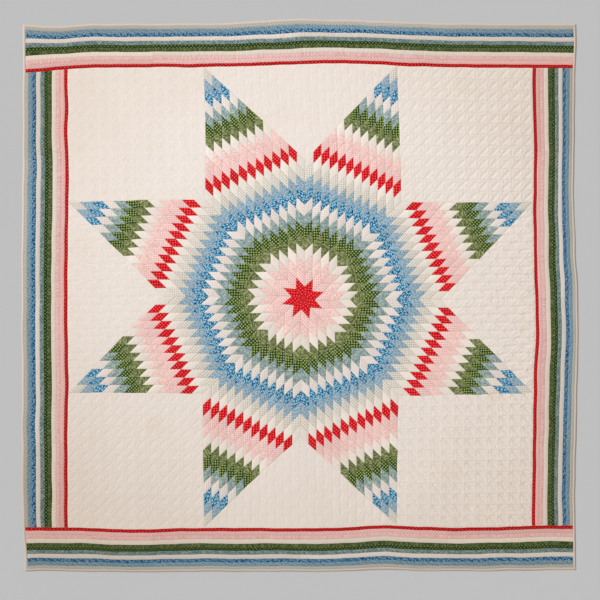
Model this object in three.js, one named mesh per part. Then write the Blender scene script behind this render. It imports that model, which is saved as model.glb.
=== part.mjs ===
// A star of bethlehem quilt, lying face up. Eight large arms, each pieced from small diamonds,
// make the star. Four corner squares and four side triangles fill it out to a square, and
// borders of narrow strips and a cream binding go round it. Every panel is one closed solid
// whose top face is raised between its seams and quilted lines.
// Millimetres, +Z up. +Y is the quilt's top edge, and the flat underside is on z = 0.
import * as THREE from "three";

// The pattern as it was drafted
const diamondSide = 47;
const diamondsPerSide = 12;
const armSide = diamondSide * diamondsPerSide;
const fieldHalf = armSide * (1 + Math.SQRT1_2);
const borderStrips = [
  { fabric: "red print", width: 14.5 },
  { fabric: "pink print", width: 16.5 },
  { fabric: "pink print", width: 16.5 },
  { fabric: "cream", width: 18.5 },
  { fabric: "olive", width: 15 },
  { fabric: "dark green print", width: 15 },
  { fabric: "grey blue print", width: 16 },
  { fabric: "cream shirting", width: 17.5 },
  { fabric: "blue print", width: 15.5 },
  { fabric: "light blue print", width: 16.5 },
  { fabric: "beige print", width: 12.5 },
];
const bindingWidth = 10.5;
const pieceGap = 0.3;
const armAngle = 45;
const quarterTurn = 90;
const clothRoughness = 0.95;

// Every how many field points a seam between strips, and the outer edge, has one of its own
const stripEvery = 3;
const edgeEvery = 2;

// Places in the draft nearer to each other than this are one point
const samePlace = 0.01;

// Thickness of the three layers at a seam, and how far the cloth puffs up between seams
const seamHeight = 2.6;
const diamondPuff = 1.5;
const quiltPuff = 1.4;
const stripPuff = 0.8;
const bindingPuff = 1.3;
const bindingEdgeHeight = 1.6;

// How the finished cloth lies: the star's middle is twisted and full, the whole is drawn in
const twist = { angle: 6, reach: 150, outerAngle: 0.8, outerReach: 800 };
const fullness = { share: 0.045, reach: 620 };
const stretch = { x: 1.001, y: 0.99 };

// Where hand sewing has pulled the cloth off its drafted place, and over what reach
const pulls = [
  { at: "whole star", x: 0, y: 0, east: 12, north: -3, reachX: 850, reachY: 850 },
  { at: "top border", x: 150, y: 1050, east: 0, north: 16, reachX: 300, reachY: 330 },
  { at: "top edge, middle", x: -70, y: 1160, east: 0, north: 9, reachX: 150, reachY: 70 },
  { at: "top edge, left", x: -990, y: 1160, east: 0, north: -9, reachX: 110, reachY: 70 },
  { at: "top border, left end", x: -1150, y: 960, east: 0, north: -21, reachX: 170, reachY: 130 },
  { at: "top border, right end", x: 1120, y: 1000, east: 0, north: -2, reachX: 260, reachY: 160 },
  { at: "arm right of the top", x: 160, y: 560, east: 6, north: 5, reachX: 240, reachY: 240 },
  { at: "arm left of the top", x: -150, y: 620, east: 6, north: 0, reachX: 240, reachY: 200 },
  { at: "upper left arm", x: -620, y: 240, east: 0, north: 6, reachX: 160, reachY: 160 },
  { at: "bottom seam of the star", x: -70, y: -590, east: 0, north: -10, reachX: 140, reachY: 140 },
  { at: "arm right of the bottom", x: 230, y: -560, east: -3, north: 6, reachX: 200, reachY: 230 },
  { at: "bottom border, middle", x: 350, y: -1000, east: 0, north: 12, reachX: 130, reachY: 200 },
  { at: "bottom border, left", x: -690, y: -980, east: 0, north: -8, reachX: 180, reachY: 200 },
  { at: "bottom border, right", x: 1060, y: -980, east: 0, north: 8, reachX: 190, reachY: 200 },
  { at: "left border, upper", x: -980, y: 470, east: 4, north: 0, reachX: 160, reachY: 150 },
  { at: "left border, lower", x: -980, y: -340, east: 4, north: 0, reachX: 200, reachY: 90 },
  { at: "left edge", x: -1165, y: -200, east: -8, north: 0, reachX: 120, reachY: 900 },
  { at: "left bottom corner", x: -1165, y: -1150, east: 10, north: 0, reachX: 160, reachY: 160 },
  { at: "right border, upper", x: 980, y: 630, east: 6, north: 0, reachX: 200, reachY: 130 },
  { at: "right border, middle", x: 980, y: -110, east: 8, north: 0, reachX: 260, reachY: 180 },
  { at: "right edge, upper", x: 1160, y: 520, east: -15, north: 0, reachX: 130, reachY: 420 },
  { at: "right edge, lower", x: 1160, y: -850, east: -8, north: 0, reachX: 200, reachY: 300 },
];

const colours = {
  arm: 0xb7c3ae,
  cream: 0xe9dfd2,
  border: 0xcf9f97,
  binding: 0xdccdb9,
};

// Where a point of the draft lies in the finished quilt
function lie([x, y]) {
  const r = Math.hypot(x, y);
  const inner = twist.angle * Math.exp(-((r / twist.reach) ** 2));
  const outer = twist.outerAngle * Math.exp(-((r / twist.outerReach) ** 4));
  const turn = THREE.MathUtils.degToRad(-(inner + outer));
  const full = 1 + fullness.share * Math.exp(-((r / fullness.reach) ** 2));
  let east = (Math.cos(turn) * x - Math.sin(turn) * y) * full * stretch.x;
  let north = (Math.sin(turn) * x + Math.cos(turn) * y) * full * stretch.y;
  for (const pull of pulls) {
    const nearX = ((x - pull.x) / pull.reachX) ** 2;
    const nearY = ((y - pull.y) / pull.reachY) ** 2;
    const share = Math.exp(-nearX - nearY);
    east += pull.east * share;
    north += pull.north * share;
  }
  return [east, north];
}

const compass = (degrees) => {
  const angle = THREE.MathUtils.degToRad(degrees);
  return [Math.cos(angle), Math.sin(angle)];
};
const along = (start, steps) =>
  steps.reduce(([x, y], [[dx, dy], length]) => [x + dx * length, y + dy * length], start);

// A panel's top face, gathered point by point. A point is kept once for each place in the
// draft, so pieces of the face that meet share it.
class TopFace {
  constructor() {
    this.points = [];
    this.triangles = [];
    this.known = new Map();
  }

  point(place, height) {
    const key = place.map((value) => Math.round(value / samePlace)).join();
    if (!this.known.has(key)) {
      this.known.set(key, this.points.length);
      const [x, y] = lie(place);
      this.points.push([x, y, height]);
    }
    return this.known.get(key);
  }

  // One triangle of the face, turned so that it looks up
  triangle(a, b, c) {
    const [p, q, r] = [a, b, c].map((index) => this.points[index]);
    const area = (q[0] - p[0]) * (r[1] - p[1]) - (q[1] - p[1]) * (r[0] - p[0]);
    this.triangles.push(area > 0 ? [a, b, c] : [a, c, b]);
  }

  // A cell held down along its sides and raised in the middle
  pillow(corners, puff) {
    const count = corners.length;
    const middle = [0, 1].map((axis) => corners.reduce((sum, corner) => sum + corner[axis], 0) / count);
    const top = this.point(middle, seamHeight + puff);
    const rim = corners.map((corner) => this.point(corner, seamHeight));
    rim.forEach((corner, k) => this.triangle(corner, rim[(k + 1) % count], top));
  }

  // The band between two rows of points, each row a list of { place, height, station }
  band(lower, upper) {
    const first = lower.map(({ place, height }) => this.point(place, height));
    const second = upper.map(({ place, height }) => this.point(place, height));
    let i = 0;
    let j = 0;
    while (i < first.length - 1 || j < second.length - 1) {
      const nextLower = i < first.length - 1 ? lower[i + 1].station : Infinity;
      const nextUpper = j < second.length - 1 ? upper[j + 1].station : Infinity;
      if (nextLower <= nextUpper) {
        this.triangle(first[i], first[i + 1], second[j]);
        i += 1;
      } else {
        this.triangle(first[i], second[j + 1], second[j]);
        j += 1;
      }
    }
  }

  // The rim, anticlockwise: the edges that only one triangle has
  outline() {
    const edges = new Map();
    for (const triangle of this.triangles) {
      triangle.forEach((from, k) => edges.set(`${from},${triangle[(k + 1) % 3]}`, [from, triangle[(k + 1) % 3]]));
    }
    const next = new Map();
    for (const [from, to] of edges.values()) {
      if (!edges.has(`${to},${from}`)) next.set(from, to);
    }
    const rim = [[...next.keys()][0]];
    while (next.get(rim.at(-1)) !== rim[0]) rim.push(next.get(rim.at(-1)));
    return rim;
  }
}

// Draws a rim in by half the gap between pieces, along the mitre at each of its points
function drawIn(points, rim) {
  const edgeNormal = (from, to) => {
    const [dx, dy] = [to[0] - from[0], to[1] - from[1]];
    const length = Math.hypot(dx, dy);
    return [-dy / length, dx / length];
  };
  const moved = rim.map((index, k) => {
    const here = points[index];
    const before = edgeNormal(points[rim.at(k - 1)], here);
    const after = edgeNormal(here, points[rim[(k + 1) % rim.length]]);
    const mitre = [before[0] + after[0], before[1] + after[1]];
    const scale = pieceGap / (mitre[0] ** 2 + mitre[1] ** 2);
    return [here[0] + mitre[0] * scale, here[1] + mitre[1] * scale, here[2]];
  });
  rim.forEach((index, k) => { points[index] = moved[k]; });
}

// The closed solid under a top face: upright sides, and a flat underside whose triangles run
// from each edge of the rim to the nearest point of a spine along the panel's middle
function closePanel(face, spinePlaces) {
  const rim = face.outline();
  drawIn(face.points, rim);
  const points = [...face.points];
  const triangles = [...face.triangles];
  const low = rim.map((index) => points.push([points[index][0], points[index][1], 0]) - 1);
  const spine = spinePlaces.map((place) => points.push([...lie(place), 0]) - 1);
  const nearest = (index) => {
    const distance = (s) => Math.hypot(points[s][0] - points[index][0], points[s][1] - points[index][1]);
    return spine.reduce((best, s) => (distance(s) < distance(best) ? s : best));
  };
  rim.forEach((from, k) => {
    const after = (k + 1) % rim.length;
    const [here, there] = [nearest(low[k]), nearest(low[after])];
    triangles.push([from, low[k], low[after]], [from, low[after], rim[after]]);
    triangles.push([low[k], here, low[after]]);
    if (here !== there) triangles.push([low[after], here, there]);
  });
  const geometry = new THREE.BufferGeometry();
  geometry.setAttribute("position", new THREE.Float32BufferAttribute(points.flat(), 3));
  geometry.setIndex(triangles.flat());
  geometry.computeVertexNormals();
  return geometry;
}

function panel(name, colour, face, spinePlaces) {
  const material = new THREE.MeshStandardMaterial({ color: colour, roughness: clothRoughness, metalness: 0 });
  const mesh = new THREE.Mesh(closePanel(face, spinePlaces), material);
  mesh.name = name;
  return mesh;
}

// A place on a grid of diamond sides that starts at a point and runs two ways
const gridPlace = (start, wayA, wayB) => (i, j) =>
  along(start, [[wayA, i * diamondSide], [wayB, j * diamondSide]]);

// One arm: a large diamond of small ones, each a low pillow
function arm(name, startDegrees) {
  const place = gridPlace([0, 0], compass(startDegrees), compass(startDegrees + armAngle));
  const face = new TopFace();
  for (let i = 0; i < diamondsPerSide; i += 1) {
    for (let j = 0; j < diamondsPerSide; j += 1) {
      face.pillow([place(i, j), place(i + 1, j), place(i + 1, j + 1), place(i, j + 1)], diamondPuff);
    }
  }
  return panel(name, colours.arm, face, [place(diamondsPerSide / 2, diamondsPerSide / 2)]);
}

// A square of the quilted grid: its radial diagonal parts it into two pillows
function quiltedCell(face, place, i, j) {
  face.pillow([place(i, j), place(i + 1, j), place(i + 1, j + 1)], quiltPuff);
  face.pillow([place(i, j), place(i + 1, j + 1), place(i, j + 1)], quiltPuff);
}

// One corner square, quilted in a grid with a diagonal that points at the star's middle
function cornerSquare(name, degrees) {
  const start = along([0, 0], [[compass(degrees), armSide]]);
  const place = gridPlace(start, compass(degrees - armAngle), compass(degrees + armAngle));
  const face = new TopFace();
  for (let i = 0; i < diamondsPerSide; i += 1) {
    for (let j = 0; j < diamondsPerSide; j += 1) quiltedCell(face, place, i, j);
  }
  return panel(name, colours.cream, face, [place(diamondsPerSide / 2, diamondsPerSide / 2)]);
}

// One side triangle, quilted in the same grid turned on its point, with half cells at the border
function sideTriangle(name, degrees) {
  const start = along([0, 0], [[compass(degrees), armSide]]);
  const place = gridPlace(start, compass(degrees - armAngle), compass(degrees + armAngle));
  const face = new TopFace();
  for (let i = 0; i < diamondsPerSide; i += 1) {
    for (let j = 0; j < diamondsPerSide - 1 - i; j += 1) quiltedCell(face, place, i, j);
    const last = diamondsPerSide - 1 - i;
    face.pillow([place(i, last), place(i + 1, last), place(i, last + 1)], quiltPuff);
  }
  return panel(name, colours.cream, face, [place(diamondsPerSide / 3, diamondsPerSide / 3)]);
}

// Distances of the border's seams from the field, from the inside out
const seams = borderStrips.reduce((list, { width }) => [...list, list.at(-1) + width], [0]);
const borderWidth = seams.at(-1);
const borderHalf = fieldHalf + borderWidth;

// Stations along one side of the field: where the panels inside it have their points
const hypotenuse = 2 * fieldHalf - 2 * armSide;
const sideSteps = [
  ...Array(diamondsPerSide).fill(diamondSide),
  ...Array(diamondsPerSide).fill(hypotenuse / diamondsPerSide),
  ...Array(diamondsPerSide).fill(diamondSide),
];
const fieldStations = sideSteps.reduce((list, step) => [...list, list.at(-1) + step], [-fieldHalf]);
const coarseStations = fieldStations.filter((_, k) => k % stripEvery === 0);
const edgeStations = fieldStations.filter((_, k) => k % edgeEvery === 0);
const strippedEnds = (stations) => [
  ...seams.slice(1).map((seam) => -fieldHalf - seam).reverse(),
  ...stations,
  ...seams.slice(1).map((seam) => fieldHalf + seam),
];

// A place beside one side of the field: how far along it, and how far out from its edge
const sidePlace = (degrees) => (station, out) =>
  along([0, 0], [[compass(degrees), fieldHalf + out], [compass(degrees - quarterTurn), station]]);
const row = (place, stations, out, height) =>
  stations.map((station) => ({ place: place(station, out), height, station }));

// One border: strips side by side, each puffed along its middle. The long ones run the full
// width, and the short ones stop between them, where their seams meet the long border's edge.
function border(name, degrees, isLong) {
  const place = sidePlace(degrees);
  const inner = isLong ? strippedEnds(fieldStations) : fieldStations;
  const between = isLong ? [-borderHalf, ...coarseStations, borderHalf] : coarseStations;
  const outer = isLong ? [-borderHalf, ...edgeStations, borderHalf] : edgeStations;
  const ridge = isLong ? coarseStations : coarseStations.slice(1, -1);
  const last = borderStrips.length - 1;
  const face = new TopFace();
  for (let k = 0; k <= last; k += 1) {
    const lower = row(place, k === 0 ? inner : between, seams[k], seamHeight);
    const upper = row(place, k === last ? outer : between, seams[k + 1], seamHeight);
    const crown = row(place, ridge, (seams[k] + seams[k + 1]) / 2, seamHeight + stripPuff);
    face.band(lower, crown);
    face.band(crown, upper);
    for (const end of [0, -1]) {
      const corners = [lower.at(end), upper.at(end), crown.at(end)];
      face.triangle(...corners.map(({ place: spot, height }) => face.point(spot, height)));
    }
  }
  const spine = coarseStations.slice(1, -1).map((station) => place(station, borderWidth / 2));
  return panel(name, colours.border, face, spine);
}

// One side of the binding: a narrow roll, highest near its middle. The long ones have the corners.
function binding(name, degrees, isLong) {
  const place = sidePlace(degrees);
  const fine = isLong ? [-borderHalf, ...edgeStations, borderHalf] : strippedEnds(edgeStations);
  const reach = borderHalf + bindingWidth;
  const stations = isLong ? [-reach, ...fine, reach] : fine;
  const face = new TopFace();
  const inside = row(place, stations, borderWidth, seamHeight);
  const crown = row(place, stations, borderWidth + bindingWidth / 2, seamHeight + bindingPuff);
  const outside = row(place, stations, borderWidth + bindingWidth, bindingEdgeHeight);
  face.band(inside, crown);
  face.band(crown, outside);
  const spine = coarseStations.map((station) => place(station, borderWidth + bindingWidth / 2));
  return panel(name, colours.binding, face, spine);
}

const armNames = ["ene", "nne", "nnw", "wnw", "wsw", "ssw", "sse", "ese"];
const cornerNames = ["ne", "nw", "sw", "se"];
const sideNames = ["right", "top", "left", "bottom"];
const longSides = ["top", "bottom"];

const quilt = new THREE.Group();
armNames.forEach((name, k) => quilt.add(arm(`arm_${name}`, armAngle * k)));
cornerNames.forEach((name, k) => quilt.add(cornerSquare(`corner_${name}`, armAngle + quarterTurn * k)));
sideNames.forEach((name, k) => quilt.add(sideTriangle(`side_${name}`, quarterTurn * k)));
sideNames.forEach((name, k) => quilt.add(border(`border_${name}`, quarterTurn * k, longSides.includes(name))));
sideNames.forEach((name, k) => quilt.add(binding(`binding_${name}`, quarterTurn * k, longSides.includes(name))));

// The origin is under the middle of the whole quilt
const middle = new THREE.Box3().setFromObject(quilt).getCenter(new THREE.Vector3());
quilt.position.set(-middle.x, -middle.y, 0);

export default quilt;
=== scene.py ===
"""A star of bethlehem quilt lying face up on a pale floor.

The pattern is drafted flat, in metres: eight arms of small diamonds, four corner squares, four side
triangles, borders of narrow strips and a binding. lie() moves each place of the draft to where it lies in
the finished quilt. Every panel is one closed mesh, whose top face is raised between its seams and its
quilted lines.
"""

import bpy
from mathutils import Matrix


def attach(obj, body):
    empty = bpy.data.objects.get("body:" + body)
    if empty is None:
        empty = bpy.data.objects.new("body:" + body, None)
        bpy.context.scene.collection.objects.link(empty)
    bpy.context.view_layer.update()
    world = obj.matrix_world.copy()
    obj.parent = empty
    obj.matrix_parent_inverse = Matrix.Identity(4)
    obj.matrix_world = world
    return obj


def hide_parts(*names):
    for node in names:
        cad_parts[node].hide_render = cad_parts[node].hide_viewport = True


bl_info = {
    "name": "Star of Bethlehem Quilt",
    "version": (1, 0, 0),
    "blender": (4, 5, 0),
    "location": "View3D > Sidebar > Quilt",
    "description": "A pieced star quilt lying flat, with striped borders and a cream binding",
    "category": "Add Mesh",
}

import math
from collections import namedtuple

import bpy
import numpy as np

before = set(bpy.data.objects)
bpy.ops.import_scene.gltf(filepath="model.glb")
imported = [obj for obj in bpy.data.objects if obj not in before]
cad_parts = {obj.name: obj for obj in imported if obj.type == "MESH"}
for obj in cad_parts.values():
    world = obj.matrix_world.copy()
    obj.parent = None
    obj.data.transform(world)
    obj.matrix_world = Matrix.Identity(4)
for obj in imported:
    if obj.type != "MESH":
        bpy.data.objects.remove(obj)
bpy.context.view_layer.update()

# How the finished cloth lies: the star's middle is twisted and full, and the whole is drawn in
Twist = namedtuple("Twist", "angle reach outer_angle outer_reach")
TWIST = Twist(angle=6, reach=0.15, outer_angle=0.8, outer_reach=0.8)
Fullness = namedtuple("Fullness", "share reach")
FULLNESS = Fullness(share=0.045, reach=0.62)
Stretch = namedtuple("Stretch", "east north")
STRETCH = Stretch(east=1.001, north=0.99)

# Where hand sewing has pulled the cloth off its drafted place, and over what reach, in metres
Pull = namedtuple("Pull", "place x y east north reach_x reach_y")
PULLS = (
    Pull("whole star", 0, 0, 0.012, -0.003, 0.85, 0.85),
    Pull("top border", 0.15, 1.05, 0, 0.016, 0.3, 0.33),
    Pull("top edge, middle", -0.07, 1.16, 0, 0.009, 0.15, 0.07),
    Pull("top edge, left", -0.99, 1.16, 0, -0.009, 0.11, 0.07),
    Pull("top border, left end", -1.15, 0.96, 0, -0.021, 0.17, 0.13),
    Pull("top border, right end", 1.12, 1.0, 0, -0.002, 0.26, 0.16),
    Pull("arm right of the top", 0.16, 0.56, 0.006, 0.005, 0.24, 0.24),
    Pull("arm left of the top", -0.15, 0.62, 0.006, 0, 0.24, 0.2),
    Pull("upper left arm", -0.62, 0.24, 0, 0.006, 0.16, 0.16),
    Pull("bottom seam of the star", -0.07, -0.59, 0, -0.01, 0.14, 0.14),
    Pull("arm right of the bottom", 0.23, -0.56, -0.003, 0.006, 0.2, 0.23),
    Pull("bottom border, middle", 0.35, -1.0, 0, 0.012, 0.13, 0.2),
    Pull("bottom border, left", -0.69, -0.98, 0, -0.008, 0.18, 0.2),
    Pull("bottom border, right", 1.06, -0.98, 0, 0.008, 0.19, 0.2),
    Pull("left border, upper", -0.98, 0.47, 0.004, 0, 0.16, 0.15),
    Pull("left border, lower", -0.98, -0.34, 0.004, 0, 0.2, 0.09),
    Pull("left edge", -1.165, -0.2, -0.008, 0, 0.12, 0.9),
    Pull("left bottom corner", -1.165, -1.15, 0.01, 0, 0.16, 0.16),
    Pull("right border, upper", 0.98, 0.63, 0.006, 0, 0.2, 0.13),
    Pull("right border, middle", 0.98, -0.11, 0.008, 0, 0.26, 0.18),
    Pull("right edge, upper", 1.16, 0.52, -0.015, 0, 0.13, 0.42),
    Pull("right edge, lower", 1.16, -0.85, -0.008, 0, 0.2, 0.3),
)

# Small unevenness: how far seams and quilted lines wander each way, how far the cloth lifts, and over
# what lengths
Ripple = namedtuple("Ripple", "height shortest longest seed")
SEAM_WANDER = [Ripple(height=0.0008, shortest=0.07, longest=0.3, seed=seed) for seed in (11, 12)]
CLOTH_LIFT = Ripple(height=0.00035, shortest=0.12, longest=0.5, seed=13)
LINE_WANDER = [Ripple(height=0.0012, shortest=0.05, longest=0.3, seed=seed) for seed in (14, 15)]
RIPPLE_WAVES = 14

# The border's strips, from the inside out
Strip = namedtuple("Strip", "fabric width")
BORDER_STRIPS = (
    Strip("red", 0.0145),
    Strip("pink_speck", 0.0165),
    Strip("pink", 0.0165),
    Strip("cream", 0.0185),
    Strip("olive", 0.015),
    Strip("dark_green", 0.015),
    Strip("grey_blue", 0.016),
    Strip("shirting", 0.0175),
    Strip("blue", 0.0155),
    Strip("light_blue", 0.0165),
    Strip("beige", 0.0125),
)
# Rows of diamonds from the star's middle to the arms' widest line, which the arms then repeat
STAR_ROWS = tuple(strip.fabric for strip in BORDER_STRIPS) + ("cream",)

# Each fabric's ground: in the star, where it has faded, and in the borders, which are still deeper
Ground = namedtuple("Ground", "words star border")
GROUNDS = {
    "red": Ground("red dotted print", "#d40b1d", "#b9060d"),
    "pink_speck": Ground("pink print with red specks", "#f0cac4", "#e5b8b5"),
    "pink": Ground("plainer pink print", "#f0cac2", "#e9bab5"),
    "cream": Ground("plain cream cotton", "#ebe0d6", "#e1d5c9"),
    "olive": Ground("olive print", "#6d7947", "#45592a"),
    "dark_green": Ground("dark green print", "#3c552c", "#173f1a"),
    "grey_blue": Ground("grey blue print", "#90a3a0", "#708687"),
    "shirting": Ground("pale shirting print", "#e6ddd6", "#ddd5cd"),
    "blue": Ground("blue print", "#1f6e97", "#04578a"),
    "light_blue": Ground("light blue print", "#84a0b1", "#6a8ca1"),
    "beige": Ground("beige print", "#d9d2c7", "#b2b3ab"),
}

# Each print: its kind, how far apart its figures are, their size as a share of that, and its two
# figure colours with how strongly each one covers the ground
Print = namedtuple("Print", "kind spacing size figure figure_cover shade shade_cover")
PRINTS = {
    "red": Print("dots", 0.0108, 0.17, "#ff8577", 0.95, "#4a0408", 0.9),
    "pink_speck": Print("dots", 0.0088, 0.16, "#c94845", 0.95, "#fffdf9", 0.9),
    "pink": Print("streaks", 0.0048, 0.5, "#fdeeea", 0.45, "#d48985", 0.33),
    "cream": Print("streaks", 0.0045, 0.5, "#f8f2ea", 0.2, "#dacdbc", 0.2),
    "olive": Print("streaks", 0.0046, 0.5, "#b0b385", 0.75, "#414824", 0.8),
    "dark_green": Print("dots", 0.0103, 0.25, "#b6c26c", 0.95, "#080f07", 0.95),
    "grey_blue": Print("mottle", 0.0074, 0.38, "#c9d5c5", 0.7, "#506d80", 0.75),
    "shirting": Print("dots", 0.009, 0.17, "#b3837c", 0.7, "#fffaf5", 0.7),
    "blue": Print("flecks", 0.01, 0.25, "#b1dcec", 0.95, "#04366c", 0.9),
    "light_blue": Print("flecks", 0.0092, 0.24, "#d2e0e5", 0.6, "#5a82ab", 0.62),
    "beige": Print("dots", 0.009, 0.2, "#8f7f66", 0.72, "#faf6ef", 0.7),
}

# Old yellow marks on the plain cloth: middle and reach in metres, and strength
Mark = namedtuple("Mark", "x y reach strength")
MARKS = (
    Mark(0.81, -0.415, 0.05, 1.3),
    Mark(-0.61, -0.54, 0.06, 1.0),
    Mark(0.22, -0.81, 0.055, 0.8),
    Mark(0.93, -0.13, 0.05, 0.8),
    Mark(-0.93, 0.615, 0.045, 0.7),
)

# Spread of the furrow beside each kind of sewn line, and how deep the grid's go beside the diagonals'
SEAM_FURROW = 0.0055
DIAGONAL_FURROW = 0.0065
GRID_FURROW = 0.005
GRID_DEPTH = 0.6
# How full a strip's crown is, how unevenly the diamonds are puffed, and the least and most
PUFF_FULLNESS = 0.75
PUFF_VARIES = 0.18
PUFF_LIMITS = (0.4, 1.6)
# How strongly plain cloth is raised: along the upright middle line, and how much more outwards from it,
# and to the right and upwards as a share, for each metre
Relief = namedtuple("Relief", "middle outward right up")
RELIEF = Relief(middle=0.55, outward=0.8, right=0.5, up=-0.1)
# How long a border's strips are between their joins, and how many faces the binding has across
JOINED_LENGTH = 0.61
BINDING_COLUMNS = 10

QUARTER = 90
ARM_ANGLE = 45
ARM_NAMES = ("ene", "nne", "nnw", "wnw", "wsw", "ssw", "sse", "ese")
CORNER_NAMES = ("ne", "nw", "sw", "se")
SIDE_NAMES = ("right", "top", "left", "bottom")
LONG_SIDES = ("top", "bottom")
# Half of a square's diagonal, for a side of one
SLANT = math.sqrt(0.5)


def linear(code):
    """A colour's linear values from its usual six-digit code, by the usual rule for screen colours."""
    values = np.array([int(code[start : start + 2], 16) for start in (1, 3, 5)]) / 255
    return tuple(np.where(values <= 0.04045, values / 12.92, ((values + 0.055) / 1.055) ** 2.4))


def length_property(name, description, default):
    """A length that a user may change, in metres."""
    return bpy.props.FloatProperty(
        name=name, description=description, default=default, min=0, precision=4, unit="LENGTH"
    )


def colour_property(name, description, code):
    """A colour that a user may change."""
    return bpy.props.FloatVectorProperty(
        name=name, description=description, default=linear(code), min=0, max=1, size=3, subtype="COLOR"
    )


def ground_properties(place):
    """A colour that a user may change for each fabric's ground in one place: the star or the border."""
    return {
        fabric: colour_property(
            fabric.replace("_", " ").capitalize(), f"Ground of the {ground.words}", getattr(ground, place)
        )
        for fabric, ground in GROUNDS.items()
    }


class QuiltSizes(bpy.types.PropertyGroup):
    """Sizes of the quilt's pattern and of its relief"""

    diamond_side: length_property("Diamond side", "Side of one small diamond of the star", 0.047)
    diamonds: bpy.props.IntProperty(
        name="Diamonds", description="Small diamonds along an arm's side", default=12, min=2
    )
    fineness: bpy.props.IntProperty(
        name="Fineness", description="Faces along one small diamond's side", default=12, min=2
    )
    strip_fineness: bpy.props.IntProperty(
        name="Strip fineness", description="Faces across one border strip", default=6, min=2
    )
    binding_width: length_property("Binding width", "Width of the binding that shows", 0.0105)
    seam_height: length_property("Seam height", "Thickness of the quilt at a seam", 0.0026)
    diamond_puff: length_property("Diamond puff", "How far a diamond rises above its seams", 0.0008)
    quilt_puff: length_property("Quilting puff", "How far plain cloth rises between its lines", 0.0012)
    strip_puff: length_property("Strip puff", "How far a border strip rises above its seams", 0.0008)
    binding_puff: length_property("Binding puff", "How far the binding rises above its seam", 0.0013)
    least_height: length_property("Least height", "Thickness of the binding at its very edge", 0.0004)


class StarColours(bpy.types.PropertyGroup):
    """Grounds of the star's fabrics"""

    __annotations__ = ground_properties("star")


class BorderColours(bpy.types.PropertyGroup):
    """Grounds of the border's strips"""

    __annotations__ = ground_properties("border")


class PlainColours(bpy.types.PropertyGroup):
    """Colours of the plain cottons, the thread and the floor"""

    field: colour_property("Field", "Plain quilted cotton of the corners and sides", "#ebe0d8")
    backing: colour_property("Back", "Cotton of the quilt's back", "#e2d8ca")
    binding: colour_property("Binding", "Cotton of the binding", "#d1c4ba")
    thread: colour_property("Thread", "Quilting thread", "#f4ede2")
    # Painted shade along the furrow of each seam
    shadow: colour_property("Seam line", "Shaded line along a seam", "#8f7a66")
    stain: colour_property("Stain", "Tint of old marks on the cloth", "#e9d2a0")
    aged: colour_property("Aged", "Tint of cloth that has yellowed towards the edge", "#dccfbd")
    # Painted shade: multiplied in towards the lower right, where the key light falls off
    painted_falloff: colour_property("Painted Falloff", "Tint of cloth towards the lower right", "#eae8e5")
    floor: colour_property("Floor", "Plain pale floor", "#b8b8b8")


def compass(degrees):
    """The unit vector at an angle from +X, anticlockwise."""
    turn = math.radians(degrees)
    return np.array((math.cos(turn), math.sin(turn)))


def ripples(draft, ripple):
    """A smooth uneven field over places of the draft.

    It is the sum of sine waves with seeded directions, lengths and phases, divided by the root of half
    their number, times the ripple's height.
    """
    chance = np.random.default_rng(ripple.seed)
    angle = chance.uniform(0, math.pi, RIPPLE_WAVES)
    length = chance.uniform(ripple.shortest, ripple.longest, RIPPLE_WAVES)
    phase = chance.uniform(0, math.tau, RIPPLE_WAVES)
    run = draft[..., :1] * np.cos(angle) + draft[..., 1:] * np.sin(angle)
    waves = np.sin(math.tau * run / length + phase).sum(-1)
    return ripple.height * waves / math.sqrt(RIPPLE_WAVES / 2)


def lie(draft):
    """Where places of the draft lie in the finished quilt.

    Each place is turned clockwise by an angle that fades with e to the minus squared distance from the
    middle, and by a small one that fades with the fourth power. It is moved outwards by a share that
    fades likewise. Each pull then adds its offset times e to the minus squared distance over its reach.
    """
    x, y = draft[..., 0], draft[..., 1]
    distance = np.hypot(x, y)
    inner = TWIST.angle * np.exp(-((distance / TWIST.reach) ** 2))
    outer = TWIST.outer_angle * np.exp(-((distance / TWIST.outer_reach) ** 4))
    turn = -np.radians(inner + outer)
    full = 1 + FULLNESS.share * np.exp(-((distance / FULLNESS.reach) ** 2))
    east = (np.cos(turn) * x - np.sin(turn) * y) * full * STRETCH.east
    north = (np.sin(turn) * x + np.cos(turn) * y) * full * STRETCH.north
    for pull in PULLS:
        near = ((x - pull.x) / pull.reach_x) ** 2 + ((y - pull.y) / pull.reach_y) ** 2
        share = np.exp(-near)
        east = east + pull.east * share
        north = north + pull.north * share
    return np.stack((east, north), -1)


def arm_side(sizes):
    """Side of a whole arm."""
    return sizes.diamond_side * sizes.diamonds


def field_half(sizes):
    """Half the width of the square that the star, corners and sides fill."""
    return arm_side(sizes) * (1 + SLANT)


def border_width():
    """Width of a whole border."""
    return sum(strip.width for strip in BORDER_STRIPS)


def finished_middle(sizes):
    """The middle of the box round the finished quilt's edge, which becomes the origin."""
    reach = field_half(sizes) + border_width() + sizes.binding_width
    run = np.linspace(-reach, reach, sizes.diamonds * sizes.fineness)
    edge = np.full_like(run, reach)
    sides = ((run, edge), (run, -edge), (edge, run), (-edge, run))
    outline = lie(np.concatenate([np.stack(side, -1) for side in sides]))
    return (outline.min(0) + outline.max(0)) / 2


def settle(draft, height, sizes):
    """Points of the finished cloth, in metres: each place laid, wandering a little, at its height."""
    wander = np.stack([ripples(draft, way) for way in SEAM_WANDER], -1)
    flat = lie(draft) + wander - finished_middle(sizes)
    return np.concatenate((flat, height[..., None]), -1)


def raised(sizes, draft, puff):
    """Height of cloth that stands puff above its seams, and lifts a little."""
    return sizes.seam_height + puff + ripples(draft, CLOTH_LIFT)


def furrow(distance, spread):
    """1 on a sewn line, fading beside it as e to the minus squared distance over the spread."""
    return np.exp(-((distance / spread) ** 2))


def from_line(value, pitch):
    """Distance from the nearest of lines a pitch apart, where value counts them."""
    return np.abs(value - np.round(value)) * pitch


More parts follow.
